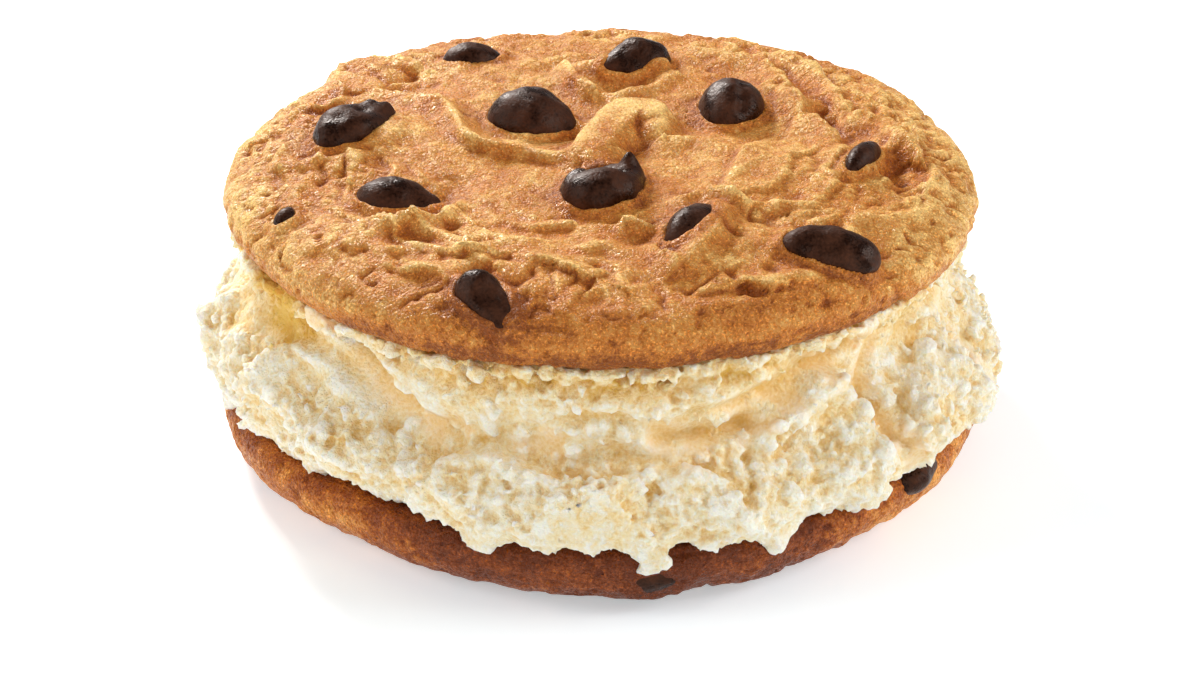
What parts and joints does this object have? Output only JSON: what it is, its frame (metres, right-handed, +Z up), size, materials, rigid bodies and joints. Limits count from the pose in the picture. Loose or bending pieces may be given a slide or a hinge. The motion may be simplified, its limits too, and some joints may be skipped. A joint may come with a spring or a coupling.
{
  "type": "ice cream sandwich",
  "caption": "Round sandwich of vanilla ice cream pressed between chocolate chip cookies, bulging past their rims and hanging over the lower one.",
  "frame": {"origin": "middle of the flat spot that the lower cookie rests on", "axes": "+Z up through both cookies, -Y towards the front, where the filling hangs lowest"},
  "size_m": [0.0979, 0.0982, 0.0412],
  "materials": {
    "cookie_crust": "golden brown baked cookie dough, dry and wrinkled",
    "ice_cream": "pale vanilla ice cream, crumbly and slightly wet",
    "chocolate": "dark chocolate with a soft sheen"
  },
  "bodies": {
    "root": {"top_cookie": "cookie_crust", "ice_cream": "ice_cream", "bottom_cookie": "cookie_crust", "top_chip_01": "chocolate", "top_chip_02": "chocolate", "top_chip_03": "chocolate", "top_chip_04": "chocolate", "top_chip_05": "chocolate", "top_chip_06": "chocolate", "top_chip_07": "chocolate", "top_chip_08": "chocolate", "top_chip_09": "chocolate", "top_chip_10": "chocolate", "top_chip_11": "chocolate", "top_chip_12": "chocolate", "bottom_chip_01": "chocolate", "bottom_chip_02": "chocolate", "bottom_chip_03": "chocolate", "bottom_chip_04": "chocolate", "bottom_chip_05": "chocolate", "bottom_chip_06": "chocolate", "bottom_chip_07": "chocolate", "bottom_chip_08": "chocolate", "bottom_chip_09": "chocolate"}
  },
  "joints": []
}
